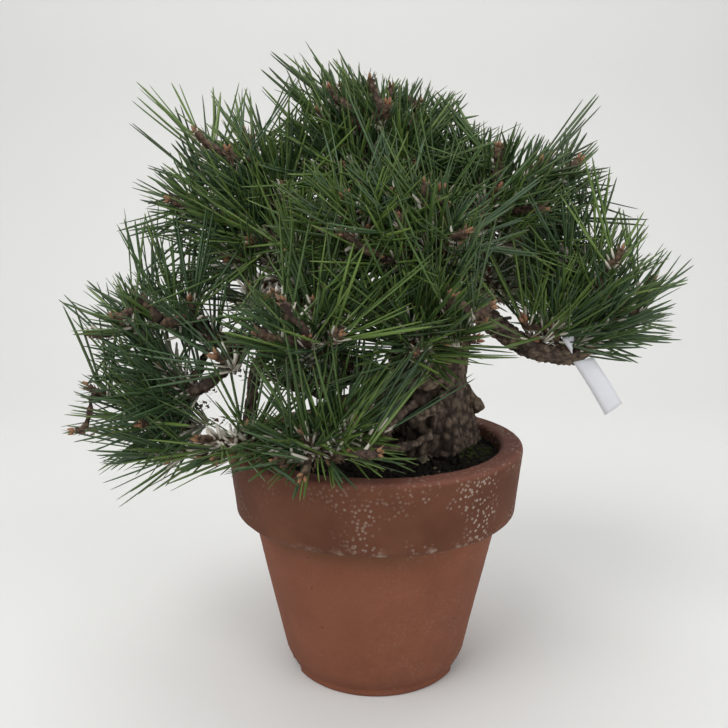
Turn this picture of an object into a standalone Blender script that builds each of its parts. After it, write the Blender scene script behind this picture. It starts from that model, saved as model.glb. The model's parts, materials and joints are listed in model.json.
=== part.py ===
"""A Japanese black pine bonsai in its terracotta training pot.

Metres, +Z up. The origin is on the pot's axis, on the surface that the pot stands on. The front of the
tree faces -Y and +X is to the right. Lengths in the tables below are millimetres.
"""

import math
from collections import namedtuple

import bmesh
import bpy
from mathutils import Vector

MM = 0.001
GAP = 0.3  # between neighbouring solids
SMOOTH_BELOW = math.radians(40)  # edges that turn less than this are shaded smooth

Bough = namedtuple("Bough", "points first last")
Mass = namedtuple("Mass", "centre half tufts boughs tips")

# The pot: a thrown training pot, 150 mm over the rim
RIM_RADIUS = 75.0
POT_HEIGHT = 119.0
LIP_WIDTH = 11.3
LIP_ROUND = 2.4
BAND_TAPER_FROM = 107.0  # the band is upright above this and leans in below it
BAND_EDGE = 1.2
BAND_INSIDE = 101.5  # the wall inside thickens from here up to the lip
BAND_BOTTOM = 84.5
BAND_FOOT_RADIUS = 71.8
BODY_TOP_RADIUS = 64.0
SHOULDER_RADIUS = 47.6
SHOULDER_HEIGHT = 9.5
FOOT_RADIUS = 44.5
FOOT_HEIGHT = 4.2
FOOT_WIDTH = 6.5
FOOT_RECESS = 3.2  # how far the base is hollowed inside the foot
WALL = 7.0
BASE_TOP = 9.5
DRAIN_RADIUS = 11.0
POT_SEGMENTS = 32
NOTCH_WIDTH = 13.0
NOTCH_ANGLES = (-22.0, -158.0, 90.0)

# The soil, filled to just under the lip
SOIL_TOP = 113.0
SOIL_EDGE_DROP = 1.6
SOIL_EDGE_WIDTH = 3.5

# The trunk, from its flat cut on the soil to its fork: height, axis x, axis y, radius
TRUNK_STATIONS = (
    (SOIL_TOP + GAP, 26.0, 6.0, 20.5),
    (130.0, 26.5, 6.0, 19.5),
    (150.0, 27.5, 5.0, 19.0),
    (172.0, 28.0, 3.0, 19.4),
    (190.0, 26.5, 1.0, 17.5),
    (202.0, 25.0, 0.0, 14.5),
    (210.0, 24.0, 0.0, 10.5),
)
TRUNK_RINGS = 13
TRUNK_SIDES = 18
RING_CROWDING = 1.25  # over 1 sets the rings closer near the roots
FLUTES = ((0.7, 3, 0.09), (0.5, 5, -0.13))  # shallow flutes: depth, number round the trunk, twist

ROOT_CURVE = 0.42  # under 1 makes a root leave the trunk high and run out steeply

# Root flare: direction in degrees, angular width, reach beyond the trunk, height at which it starts
ROOTS = (
    (20.0, 27.0, 13.5, 140.0),
    (-62.0, 20.0, 6.0, 134.0),
    (-112.0, 18.0, 8.0, 138.0),
    (175.0, 30.0, 15.0, 142.0),
    (95.0, 26.0, 9.0, 136.0),
)

LIMB_SIDES = 6
LIMB_TWIST = 9.0
LIMB_SWELL = 0.07  # how far a bough is from round, as a share of its radius

# Each bough: where it starts, the points its axis bends through, its end, and its first and last radius
BOUGHS = {
    "right_bough": Bough(
        ((34, 4, 196), (51, -6, 185), (68, -10, 171.5), (81, -12, 166), (97, -11, 163), (106, -10, 168)),
        first=7.2,
        last=3.0,
    ),
    "left_bough": Bough(
        ((16, 0, 190), (-10, -7, 192), (-34, -16, 185), (-57, -25, 174), (-70, -24, 172)),
        first=7.4,
        last=4.0,
    ),
    "left_low_bough": Bough(
        ((-63, -24, 170), (-74, -24, 158), (-86, -22, 149), (-97, -20, 144)),
        first=3.4,
        last=2.4,
    ),
    "hanging_bough": Bough(
        ((-47, -22, 176), (-56, -35, 162), (-58, -39, 147), (-61, -42, 133)),
        first=3.4,
        last=2.3,
    ),
    "front_stem": Bough(
        ((14, -6, 138), (3, -28, 145), (1, -38, 155), (3, -43, 164)),
        first=4.6,
        last=3.4,
    ),
    "front_left_bough": Bough(
        ((0, -46, 163), (-9, -51, 167), (-22, -58, 171)),
        first=3.6,
        last=2.8,
    ),
    "front_right_bough": Bough(
        ((7, -47, 167), (11, -52, 171), (16, -59, 176)),
        first=3.4,
        last=2.8,
    ),
    "low_front_bough": Bough(
        ((12, -4, 128), (-6, -30, 126), (-18, -50, 130), (-26, -66, 132)),
        first=3.6,
        last=2.4,
    ),
    "leader": Bough(
        ((22, 0, 205), (15, -4, 222), (4, -8, 240)),
        first=7.6,
        last=5.0,
    ),
    "crown_left_bough": Bough(
        ((18, 0, 203), (-8, -3, 213), (-38, -8, 225)),
        first=6.0,
        last=3.8,
    ),
    "crown_right_bough": Bough(
        ((28, 0, 204), (42, -2, 216), (54, -4, 230)),
        first=6.2,
        last=4.0,
    ),
    "crown_front_bough": Bough(
        ((28, -6, 194), (33, -22, 200), (30, -38, 210)),
        first=5.0,
        last=3.4,
    ),
    "back_bough": Bough(
        ((24, 8, 198), (16, 30, 208), (8, 46, 220)),
        first=6.4,
        last=4.2,
    ),
    "back_right_bough": Bough(
        ((32, 8, 184), (50, 28, 190), (64, 42, 195)),
        first=5.2,
        last=3.6,
    ),
    "back_left_bough": Bough(
        ((18, 8, 180), (-12, 26, 184), (-38, 38, 189)),
        first=5.6,
        last=3.6,
    ),
    "low_back_bough": Bough(
        ((20, 12, 140), (0, 26, 143), (-14, 32, 145)),
        first=4.0,
        last=2.8,
    ),
}

# What each bough grows from, where that isn't the trunk
GROWS_FROM = {
    "left_low_bough": ("left_bough",),
    "hanging_bough": ("left_bough",),
    "front_left_bough": ("front_stem",),
    "front_right_bough": ("front_stem",),
    "crown_left_bough": ("trunk", "leader"),
    "crown_right_bough": ("trunk", "leader"),
}

# Each mass of needles: centre, half its width, depth and height, the number of its tufts, the boughs that
# enter or pass it, and the longest needle tips
MASSES = {
    "crown_top": Mass(
        centre=(-6, -8, 262),
        half=(46, 34, 33),
        tufts=9,
        boughs=("leader",),
        tips=((-25.5, -10, 301.5), (-38, -10, 295), (18, 6, 289)),
    ),
    "crown_left": Mass(
        centre=(-64, -8, 238),
        half=(46, 34, 32),
        tufts=9,
        boughs=("crown_left_bough",),
        tips=((-109, -4, 248), (-91, 0, 273), (-65, 0, 284), (-112, -18, 223)),
    ),
    "crown_right": Mass(
        centre=(60, -5, 241),
        half=(44, 32, 28),
        tufts=9,
        boughs=("crown_right_bough",),
        tips=((101, 4, 267), (107, -8, 247), (37, 4, 283), (72, 0, 268)),
    ),
    "crown_front": Mass(
        centre=(-2, -48, 226),
        half=(50, 30, 27),
        tufts=10,
        boughs=("crown_front_bough", "leader", "crown_left_bough"),
        tips=((10, -86, 224),),
    ),
    "left_mid": Mass(
        centre=(-100, -14, 180),
        half=(44, 30, 23),
        tufts=8,
        boughs=("left_bough",),
        tips=((-150, -10, 188), (-124, -6, 197), (-143, -14, 164)),
    ),
    "left_low": Mass(
        centre=(-110, -20, 138),
        half=(38, 28, 27),
        tufts=8,
        boughs=("left_low_bough",),
        tips=((-154.5, -20, 128), (-138, -14, 105), (-109, -25, 103), (-144, -18, 148)),
    ),
    "left_inner": Mass(
        centre=(-44, -18, 204),
        half=(26, 24, 20),
        tufts=6,
        boughs=("left_bough", "crown_left_bough"),
        tips=(),
    ),
    "low_left_front": Mass(
        centre=(-64, -46, 131),
        half=(28, 25, 15),
        tufts=6,
        boughs=("hanging_bough",),
        tips=((-88, -52, 121),),
    ),
    "front_left": Mass(
        centre=(-28, -66, 187),
        half=(36, 28, 23),
        tufts=7,
        boughs=("front_left_bough",),
        tips=((-60, -64, 190), (-32, -96, 178)),
    ),
    "front_right": Mass(
        centre=(18, -66, 187),
        half=(34, 28, 24),
        tufts=7,
        boughs=("front_right_bough", "crown_front_bough"),
        tips=((56, -56, 172), (20, -97, 184)),
    ),
    "low_front": Mass(
        centre=(-26, -72, 137),
        half=(36, 25, 18),
        tufts=7,
        boughs=("low_front_bough",),
        tips=((-28, -100, 126), (12, -70, 128)),
    ),
    "right_pad": Mass(
        centre=(104, -8, 192),
        half=(42, 26, 30),
        tufts=9,
        boughs=("right_bough",),
        tips=((151.8, -6, 205), (126, -4, 228), (143, -8, 178)),
    ),
    "back_top": Mass(
        centre=(12, 48, 240),
        half=(50, 42, 34),
        tufts=9,
        boughs=("back_bough",),
        tips=((14, 98, 244), (-30, 76, 262)),
    ),
    "back_left": Mass(
        centre=(-52, 46, 198),
        half=(42, 38, 25),
        tufts=8,
        boughs=("back_left_bough",),
        tips=((-98, 56, 204), (-58, 90, 196)),
    ),
    "back_right": Mass(
        centre=(72, 50, 200),
        half=(40, 38, 26),
        tufts=8,
        boughs=("back_right_bough",),
        tips=((112, 62, 208), (76, 93, 196)),
    ),
    "low_back": Mass(
        centre=(-28, 38, 146),
        half=(32, 26, 19),
        tufts=6,
        boughs=("low_back_bough",),
        tips=((-66, 44, 150),),
    ),
}
TUFT_SPREAD = math.radians(26)
TUFT_DEPTH = 0.26
MASS_DETAIL = 3
ABOVE_RIM = POT_HEIGHT + 0.8
OFF_RIM = RIM_RADIUS + 1.2
BESIDE_POT = ("left_low",)  # hangs past the rim, the rest stay above it

# The aluminium training wires: bough, where along it the wire starts and ends (0 to 1), turns and phase
WIRE_RADIUS = 0.9
WIRES = {
    "right_wire": ("right_bough", 0.2, 0.31, 0.6, 200.0),
    "front_wire": ("front_left_bough", 0.3, 0.66, 0.9, 60.0),
}

# The plant tag, a strip of white plastic that hangs from the right bough
TAG_TOP = (101.5, -16.5, 160.0)
TAG_LENGTH = 30.0
TAG_WIDTH = 12.0
TAG_THICKNESS = 0.7
TAG_SWING = 33.0


def material(name, colour, roughness, metallic=0.0):
    """A Principled material in one colour."""
    made = bpy.data.materials.new(name)
    made.use_nodes = True
    shader = made.node_tree.nodes["Principled BSDF"]
    shader.inputs["Base Color"].default_value = (*colour, 1.0)
    shader.inputs["Roughness"].default_value = roughness
    shader.inputs["Metallic"].default_value = metallic
    return made


def add_object(name, mesh_maker, finish, cutter=False):
    """One object from a filled bmesh, given in millimetres."""
    bmesh.ops.scale(mesh_maker, vec=(MM, MM, MM), verts=mesh_maker.verts)
    bmesh.ops.recalc_face_normals(mesh_maker, faces=mesh_maker.faces)
    mesh = bpy.data.meshes.new(name)
    mesh_maker.to_mesh(mesh)
    mesh_maker.free()
    mesh.shade_smooth()
    mesh.set_sharp_from_angle(angle=SMOOTH_BELOW)
    obj = bpy.data.objects.new(name, mesh)
    bpy.context.scene.collection.objects.link(obj)
    if cutter:
        obj.hide_render = True
        obj.display_type = "WIRE"
    else:
        mesh.materials.append(finish)
    return obj


def cut(target, cutter):
    """A Boolean difference that stays on its object."""
    modifier = target.modifiers.new("cut " + cutter.name, "BOOLEAN")
    modifier.operation = "DIFFERENCE"
    modifier.solver = "EXACT"
    modifier.object = cutter


def circle_angles(count):
    return [2 * math.pi * i / count for i in range(count)]


def loft(rings, capped=True):
    """A skin over closed rings of equally many points, with a flat cap at either end."""
    bm = bmesh.new()
    rows = [[bm.verts.new(point) for point in ring] for ring in rings]
    count = len(rows[0])
    pairs = list(zip(rows, rows[1:])) if capped else list(zip(rows, rows[1:] + rows[:1]))
    for lower, upper in pairs:
        for i in range(count):
            j = (i + 1) % count
            bm.faces.new((lower[i], lower[j], upper[j]))
            bm.faces.new((lower[i], upper[j], upper[i]))
    if capped:
        bm.faces.new(list(reversed(rows[0])))
        bm.faces.new(rows[-1])
    return bm


def turned_rings(profile, segments):
    return [
        [Vector((r * math.cos(a), r * math.sin(a), z)) for a in circle_angles(segments)]
        for r, z in profile
    ]


def arc(centre_r, centre_z, radius, start, end, steps):
    """Profile points on a round edge, by angle in degrees from the outward direction."""
    angles = [math.radians(start + (end - start) * i / steps) for i in range(steps + 1)]
    return [(centre_r + radius * math.cos(a), centre_z + radius * math.sin(a)) for a in angles]


def inner_radius(z):
    """The pot's inside: straight walls that widen with the body, then the thicker band."""
    rise = (z - SHOULDER_HEIGHT) / (BAND_BOTTOM - SHOULDER_HEIGHT)
    body = SHOULDER_RADIUS + (BODY_TOP_RADIUS - SHOULDER_RADIUS) * rise - WALL
    return min(body, RIM_RADIUS - LIP_WIDTH - 2 * GAP)


def pot_profile():
    """The closed section of the pot, anticlockwise from the outer edge of its foot."""
    foot = [
        (FOOT_RADIUS, 0.0),
        (FOOT_RADIUS + 0.9, FOOT_HEIGHT),
        (FOOT_RADIUS + 0.5, FOOT_HEIGHT + 0.5),
        (FOOT_RADIUS + 1.7, FOOT_HEIGHT + 1.3),
        (SHOULDER_RADIUS - 0.6, FOOT_HEIGHT + FOOT_RECESS),
    ]
    body = [
        (SHOULDER_RADIUS, SHOULDER_HEIGHT),
        (BODY_TOP_RADIUS, BAND_BOTTOM - 0.8),
        (BODY_TOP_RADIUS + 0.8, BAND_BOTTOM),
    ]
    band = [
        (BAND_FOOT_RADIUS - BAND_EDGE, BAND_BOTTOM),
        (BAND_FOOT_RADIUS, BAND_BOTTOM + BAND_EDGE),
        (RIM_RADIUS - 0.9, BAND_TAPER_FROM),
    ]
    lip = arc(RIM_RADIUS - LIP_ROUND, POT_HEIGHT - LIP_ROUND, LIP_ROUND, 0, 90, 2)
    inner_edge = RIM_RADIUS - LIP_WIDTH
    lip += [(inner_edge + 1.0, POT_HEIGHT), (inner_edge, POT_HEIGHT - 0.8)]
    inside = [(inner_radius(z), z) for z in (SOIL_TOP - 2.0, BAND_INSIDE, BAND_BOTTOM, BASE_TOP)]
    underside = [
        (DRAIN_RADIUS, BASE_TOP),
        (DRAIN_RADIUS, FOOT_RECESS),
        (FOOT_RADIUS - FOOT_WIDTH, FOOT_RECESS),
        (FOOT_RADIUS - FOOT_WIDTH, 0.0),
    ]
    return foot + body + band + lip + inside + underside


def build_pot(finish):
    pot = add_object("pot", loft(turned_rings(pot_profile(), POT_SEGMENTS), capped=False), finish)
    for number, angle in enumerate(NOTCH_ANGLES, 1):
        bm = bmesh.new()
        bmesh.ops.create_cube(bm, size=1.0)
        bmesh.ops.scale(bm, vec=(3 * FOOT_WIDTH, NOTCH_WIDTH, 2 * FOOT_RECESS), verts=bm.verts)
        turn = math.radians(angle)
        for vert in bm.verts:
            x, y, z = vert.co
            x += FOOT_RADIUS
            vert.co = (
                x * math.cos(turn) - y * math.sin(turn),
                x * math.sin(turn) + y * math.cos(turn),
                z,
            )
        cut(pot, add_object(f"foot_notch_{number}", bm, None, cutter=True))


def build_soil(finish):
    """Soil that follows the inside of the pot, flat under the trunk and a little lower at the wall."""
    heights = (BASE_TOP + GAP, BAND_BOTTOM / 2, BAND_BOTTOM, BAND_INSIDE, SOIL_TOP - SOIL_EDGE_DROP)
    profile = [(inner_radius(z) - GAP, z) for z in heights]
    profile.append((inner_radius(SOIL_TOP) - SOIL_EDGE_WIDTH, SOIL_TOP))
    add_object("soil", loft(turned_rings(profile, POT_SEGMENTS)), finish)


def between(stations, height):
    """A table's row at this height, with the columns interpolated along it."""
    for low, high in zip(stations, stations[1:]):
        if height <= high[0]:
            share = (height - low[0]) / (high[0] - low[0])
            return [a + (b - a) * share for a, b in zip(low, high)]
    return list(stations[-1])


def flare(angle, height):
    """How far the roots stand out from the trunk in this direction, at this height."""
    base = TRUNK_STATIONS[0][0]
    reach = 0.0
    for direction, width, length, top in ROOTS:
        if height >= top:
            continue
        off = (math.degrees(angle) - direction + 180) % 360 - 180
        rise = (top - height) / (top - base)
        reach += length * rise**ROOT_CURVE * math.exp(-((off / width) ** 2))
    return reach


def trunk_rings(grow):
    base, top = TRUNK_STATIONS[0][0], TRUNK_STATIONS[-1][0]
    rings = []
    for level in range(TRUNK_RINGS):
        share = level / (TRUNK_RINGS - 1)
        height = base + (top - base) * share**RING_CROWDING
        _, x, y, radius = between(TRUNK_STATIONS, height)
        ring = []
        for angle in circle_angles(TRUNK_SIDES):
            ripple = sum(depth * math.sin(count * angle + twist * height) for depth, count, twist in FLUTES)
            reach = radius + ripple + flare(angle, height) + grow
            ring.append(Vector((x + reach * math.cos(angle), y + reach * math.sin(angle), height)))
        rings.append(ring)
    if grow:
        rings[0] = [point - Vector((0, 0, grow)) for point in rings[0]]
        rings[-1] = [point + Vector((0, 0, grow)) for point in rings[-1]]
    return rings


def smooth_path(points, per_span):
    """Points on a Catmull-Rom curve through these points."""
    points = [Vector(p) for p in points]
    ends = [2 * points[0] - points[1], *points, 2 * points[-1] - points[-2]]
    path = []
    for a, b, c, d in zip(ends, ends[1:], ends[2:], ends[3:]):
        for step in range(per_span):
            t = step / per_span
            path.append(
                0.5 * (2 * b + (c - a) * t + (2 * a - 5 * b + 4 * c - d) * t**2)
                + 0.5 * (3 * b - a - 3 * c + d) * t**3
            )
    return [*path, points[-1]]


def frames_along(path):
    """For each point its tangent and two directions across it, carried along without twist."""
    across = Vector((0, 0, 1)).cross(path[1] - path[0])
    across = across.normalized() if across.length > 1e-6 else Vector((1, 0, 0))
    frames = []
    for i, point in enumerate(path):
        tangent = (path[min(i + 1, len(path) - 1)] - path[max(i - 1, 0)]).normalized()
        across = (across - tangent * across.dot(tangent)).normalized()
        frames.append((point, tangent, across, tangent.cross(across)))
    return frames


def limb_rings(name, grow):
    bough = BOUGHS[name]
    frames = frames_along(smooth_path(bough.points, 2))
    if grow:
        start, start_tangent, *across = frames[0]
        end, end_tangent, *end_across = frames[-1]
        frames[0] = (start - start_tangent * grow, start_tangent, *across)
        frames[-1] = (end + end_tangent * grow, end_tangent, *end_across)
    rings = []
    for i, (point, _, across, over) in enumerate(frames):
        share = i / (len(frames) - 1)
        radius = bough.first + (bough.last - bough.first) * share + grow
        ring = []
        for angle in circle_angles(LIMB_SIDES):
            swell = 1.0 + LIMB_SWELL * (1.0 if grow else math.sin(2 * angle + LIMB_TWIST * share))
            ring.append(point + radius * swell * (math.cos(angle) * across + math.sin(angle) * over))
        rings.append(ring)
    return rings


def build_limbs(bark):
    """The trunk and the boughs, with a slightly larger copy of each to cut its neighbours with."""
    limbs = {"trunk": add_object("trunk", loft(trunk_rings(0.0)), bark)}
    cutters = {"trunk": add_object("trunk_cutter", loft(trunk_rings(GAP)), None, cutter=True)}
    for name in BOUGHS:
        limbs[name] = add_object(name, loft(limb_rings(name, 0.0)), bark)
        cutters[name] = add_object(name + "_cutter", loft(limb_rings(name, GAP)), None, cutter=True)
    for name in BOUGHS:
        for origin in GROWS_FROM.get(name, ("trunk",)):
            cut(limbs[name], cutters[origin])
    return cutters


def tuft_directions(count, seed):
    """Directions spread evenly over a sphere, turned by the mass's own number."""
    golden = math.pi * (3 - math.sqrt(5))
    found = []
    for i in range(count):
        z = 1 - 2 * (i + 0.5) / count
        turn = golden * i + 1.7 * seed
        wide = math.sqrt(1 - z * z)
        found.append(Vector((wide * math.cos(turn), wide * math.sin(turn), z)))
    return found


def outline_reach(direction, half, tufts):
    """How far a mass goes this way: an ellipsoid that sinks between its tufts."""
    ellipsoid = 1 / math.sqrt(sum((d / h) ** 2 for d, h in zip(direction, half)))
    nearest = max(math.exp(-((direction.angle(tuft) / TUFT_SPREAD) ** 2)) for tuft in tufts)
    return ellipsoid * (1 - TUFT_DEPTH + TUFT_DEPTH * nearest)


def reach_along(direction, half):
    """Half the width of an ellipsoid in this direction."""
    return math.sqrt(sum((d * h) ** 2 for d, h in zip(direction, half)))


def limits_of(name):
    """Planes that keep a mass to its own side: (outward normal, distance from its centre)."""
    centre = Vector(MASSES[name].centre)
    planes = []
    for other, neighbour in MASSES.items():
        if other == name:
            continue
        away = Vector(neighbour.centre) - centre
        direction = away.normalized()
        mine = reach_along(direction, MASSES[name].half)
        theirs = reach_along(direction, neighbour.half)
        planes.append((direction, away.length * mine / (mine + theirs) - GAP))
    if name in BESIDE_POT:
        inward = Vector((-centre.x, -centre.y, 0)).normalized()
        planes.append((inward, math.hypot(centre.x, centre.y) - OFF_RIM))
    else:
        planes.append((Vector((0, 0, -1)), centre.z - ABOVE_RIM))
    return planes


def limited(vector, planes):
    """The vector from the centre, shortened to stay behind every plane."""
    scale = 1.0
    for normal, distance in planes:
        along = vector.dot(normal)
        if along > distance:
            scale = min(scale, distance / along)
    return vector * scale


def build_mass(name, seed, finish, cutters):
    mass = MASSES[name]
    centre = Vector(mass.centre)
    tufts = tuft_directions(mass.tufts, seed)
    planes = limits_of(name)
    bm = bmesh.new()
    bmesh.ops.create_icosphere(bm, subdivisions=MASS_DETAIL, radius=1.0)
    places = {vert: vert.co.normalized() for vert in bm.verts}
    reached = {vert: places[vert] * outline_reach(places[vert], mass.half, tufts) for vert in bm.verts}
    for tip in mass.tips:
        outward = Vector(tip) - centre
        nearest = min(bm.verts, key=lambda vert: places[vert].angle(outward))
        reached[nearest] = outward
    for vert in bm.verts:
        vert.co = centre + limited(reached[vert], planes)
    bmesh.ops.triangulate(bm, faces=bm.faces)
    solid = add_object(name, bm, finish)
    for bough in mass.boughs:
        cut(solid, cutters[bough])


def wire_path(bough, start, end, turns, phase):
    """A coil round part of a bough, just clear of its bark."""
    limb = BOUGHS[bough]
    frames = frames_along(smooth_path(limb.points, 10))
    low, high = round(start * (len(frames) - 1)), round(end * (len(frames) - 1))
    path = []
    for i in range(low, high + 1):
        point, _, across, over = frames[i]
        bark = limb.first + (limb.last - limb.first) * i / (len(frames) - 1)
        radius = bark * (1 + LIMB_SWELL) + WIRE_RADIUS + 2 * GAP
        angle = math.radians(phase) + 2 * math.pi * turns * (i - low) / (high - low)
        path.append(point + radius * (math.cos(angle) * across + math.sin(angle) * over))
    return path


def build_wire(name, finish):
    curve = bpy.data.curves.new(name, "CURVE")
    curve.dimensions = "3D"
    curve.bevel_depth = WIRE_RADIUS * MM
    curve.bevel_resolution = 2
    curve.use_fill_caps = True
    path = wire_path(*WIRES[name])
    spline = curve.splines.new("POLY")
    spline.points.add(len(path) - 1)
    for point, place in zip(spline.points, path):
        point.co = (*(place * MM), 1.0)
    curve.materials.append(finish)
    bpy.context.scene.collection.objects.link(bpy.data.objects.new(name, curve))


def build_tag(finish):
    bm = bmesh.new()
    bmesh.ops.create_cube(bm, size=1.0)
    bmesh.ops.scale(bm, vec=(TAG_WIDTH, TAG_THICKNESS, TAG_LENGTH), verts=bm.verts)
    swing = math.radians(TAG_SWING)
    for vert in bm.verts:
        x, y, z = vert.co
        z -= TAG_LENGTH / 2
        vert.co = Vector(TAG_TOP) + Vector(
            (x * math.cos(swing) - z * math.sin(swing), y, x * math.sin(swing) + z * math.cos(swing))
        )
    add_object("tag", bm, finish)


def main():
    for obj in list(bpy.data.objects):
        bpy.data.objects.remove(obj)
    build_pot(material("old terracotta", (0.16, 0.065, 0.036), 0.8))
    build_soil(material("dark soil", (0.02, 0.015, 0.01), 0.95))
    cutters = build_limbs(material("scaly pine bark", (0.11, 0.075, 0.045), 0.9))
    needles = material("pine needles", (0.035, 0.095, 0.03), 0.5)
    for seed, name in enumerate(MASSES, 1):
        build_mass(name, seed, needles, cutters)
    aluminium = material("oxidised aluminium wire", (0.3, 0.3, 0.3), 0.5, 0.8)
    for name in WIRES:
        build_wire(name, aluminium)
    build_tag(material("white tag plastic", (0.8, 0.8, 0.82), 0.4))


main()
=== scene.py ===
"""A japanese black pine bonsai in a terracotta pot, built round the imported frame.

Shapes are worked out in millimetres. Materials, lights and the stage are in metres.
The frame's axes are +X to the right, +Y to the back and +Z up.
"""

import json
import math
import random

import bpy
import numpy as np
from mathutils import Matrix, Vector, noise
from mathutils.bvhtree import BVHTree

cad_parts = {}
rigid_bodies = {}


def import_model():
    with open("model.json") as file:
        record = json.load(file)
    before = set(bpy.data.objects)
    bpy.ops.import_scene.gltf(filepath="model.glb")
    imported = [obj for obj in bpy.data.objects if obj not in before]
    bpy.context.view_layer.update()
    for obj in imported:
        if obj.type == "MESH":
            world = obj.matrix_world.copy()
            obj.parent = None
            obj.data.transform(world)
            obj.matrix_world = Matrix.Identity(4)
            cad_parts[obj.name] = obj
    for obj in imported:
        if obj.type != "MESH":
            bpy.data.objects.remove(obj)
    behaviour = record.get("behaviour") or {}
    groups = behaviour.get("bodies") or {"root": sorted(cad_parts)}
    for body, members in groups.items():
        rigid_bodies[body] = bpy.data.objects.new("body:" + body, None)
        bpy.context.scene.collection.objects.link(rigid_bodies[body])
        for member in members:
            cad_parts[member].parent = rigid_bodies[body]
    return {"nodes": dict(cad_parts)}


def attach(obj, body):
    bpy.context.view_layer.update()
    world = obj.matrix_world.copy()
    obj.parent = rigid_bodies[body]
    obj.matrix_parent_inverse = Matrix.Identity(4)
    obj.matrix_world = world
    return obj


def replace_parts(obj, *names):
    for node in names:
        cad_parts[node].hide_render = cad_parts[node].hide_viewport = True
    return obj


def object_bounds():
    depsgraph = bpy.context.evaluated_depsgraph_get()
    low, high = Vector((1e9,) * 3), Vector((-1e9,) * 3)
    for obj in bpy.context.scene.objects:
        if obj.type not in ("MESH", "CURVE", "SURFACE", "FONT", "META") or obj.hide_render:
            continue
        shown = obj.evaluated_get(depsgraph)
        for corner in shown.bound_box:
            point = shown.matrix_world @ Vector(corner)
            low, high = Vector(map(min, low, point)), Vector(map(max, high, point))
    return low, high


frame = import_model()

CAD_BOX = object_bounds()
NODES = frame["nodes"]
MM = 0.001
BOX_LOW, BOX_HIGH = (Vector(corner) / MM for corner in CAD_BOX)
SEED = 20
RNG = random.Random(SEED)
noise.seed_set(SEED)  # without it, noise_vector starts from the clock
GOLDEN = math.pi * (3 - math.sqrt(5))
FULL_TURN = 6.28
UP = Vector((0, 0, 1))

# Camera
IMAGE = 728
FOCAL_PX = 785
SENSOR = 36.0
CAMERA_AT = (-6.0, -393.0, 229.0)
PITCH = math.radians(10.3)

# Pot, as the frame has it
RIM_RADIUS, POT_HEIGHT = 75.0, 119.0
LIP_WIDTH, LIP_ROUND, LIP_STEPS = 11.3, 2.4, 6
BAND_BOTTOM, BAND_FOOT_RADIUS, BAND_EDGE = 84.5, 71.8, 1.2
BAND_TAPER_FROM, BAND_TAPER_RADIUS = 107.0, 74.1
BODY_TOP_RADIUS = 64.0
SHOULDER_RADIUS, SHOULDER_HEIGHT = 47.6, 9.5
FOOT_RADIUS, FOOT_HEIGHT, FOOT_WIDTH, FOOT_RECESS = 44.5, 4.2, 6.5, 3.2
FOOT_ROUND_IN, FOOT_ROUND_OUT = 0.6, 0.8
WALL, BASE_TOP, DRAIN_RADIUS = 7.0, 9.5, 11.0
NOTCH_WIDTH, NOTCH_ANGLES = 13.0, (-22, -158, 90)
POT_SEGMENTS, POT_STEP = 224, 1.8
THROWN_WAVES = ((0.3, 0.02), (0.09, 0.35), (0.04, 1.1))
THROWN_RINGS = (0.06, 0.45)
MOST_SWELL = 0.12
LIP_WAVE, LIP_SINK = (0.18, 0.12), 0.1

# Soil: a wave is its height, how fine it is and its seed
SOIL_RADIUS, SOIL_UNDER_RADIUS, SOIL_TOP, SOIL_DEPTH = 62.6, 56.0, 112.4, 9.0
SOIL_RINGS, SOIL_SIDES = 44, 150
SOIL_WAVES = ((1.1, 0.06, 1), (0.7, 0.3, 2))
GRANULES, GRANULE_REACH, PALE_SHARE = 1500, 0.975, 0.07
GRANULE_SIZE, SMALL_GRANULE_SIZE = (0.7, 2.1), (0.6, 1.3)
MOSS_AT, MOSS_REACH, MOSS_RISE = (50.0, -8.0), 19.0, 2.2
DARK, MOSSY, PALE = 0.0, 0.62, 1.0
STONE_AT, STONE_SIZE, STONE_FLAT = (22.5, -22.0, 114.0), 3.4, 0.6

# Trunk and boughs
WOOD_VOXEL = 0.85
WOOD_PROUD = 0.35
TRUNK_AT, TRUNK_REACH, TRUNK_SIDE = (26, 4), 30, 0.0004
PLATE_SCALE, BOUGH_PLATE_SCALE, PLATE_STRETCH = 0.16, 0.34, 0.6
PLATE_RISE, PLATE_SINK, CRACK_WIDTH = 1.9, 1.15, 2.4
BOUGH_RELIEF, GRIT_RELIEF = 0.45, 0.6
BOUGHS = (
    "right_bough left_bough left_low_bough hanging_bough front_stem front_left_bough "
    "front_right_bough low_front_bough leader crown_left_bough crown_right_bough "
    "crown_front_bough back_bough back_right_bough back_left_bough low_back_bough"
).split()

# Roots over the soil: radius, then points as column, row and depth
ROOTS = (
    (2.0, ((443, 368, -14), (447, 387, -15), (439, 400, -16), (432, 428, -19))),
    (2.2, ((398, 389, -20), (415, 385, -20), (430, 386, -18), (447, 378, -13))),
    (3.0, ((408, 424, -26), (424, 414, -23), (440, 406, -17))),
    (2.6, ((384, 442, -32), (389, 425, -29), (399, 414, -25), (414, 404, -18))),
    (2.6, ((316, 412, -42), (330, 404, -38), (348, 400, -32), (376, 394, -22), (396, 390, -14))),
    (2.2, ((356, 447, -42), (384, 450, -38), (410, 446, -31), (430, 436, -21))),
    (3.4, ((455, 378, 4), (468, 392, 8), (480, 410, 8))),
)
ROOT_SIDES, ROOT_STEPS, ROOT_EASE = 12, 5, 3

# How uneven the roots and twigs are
TUBE_UNEVEN = 0.5

# Tag: its corners and those of its folded end, as column and row
TAG_CORNERS = ((573, 362), (593, 357), (622, 403), (605, 415))
TAG_FOLD = ((561, 338), (574, 335), (571, 353))
TAG_DEPTH, TAG_THICK, TAG_CURL, TAG_BOW = -14.0, 0.6, 2.5, 0.8
TAG_STEPS, TAG_ACROSS, FOLD_STEPS = 14, 5, 4

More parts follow.
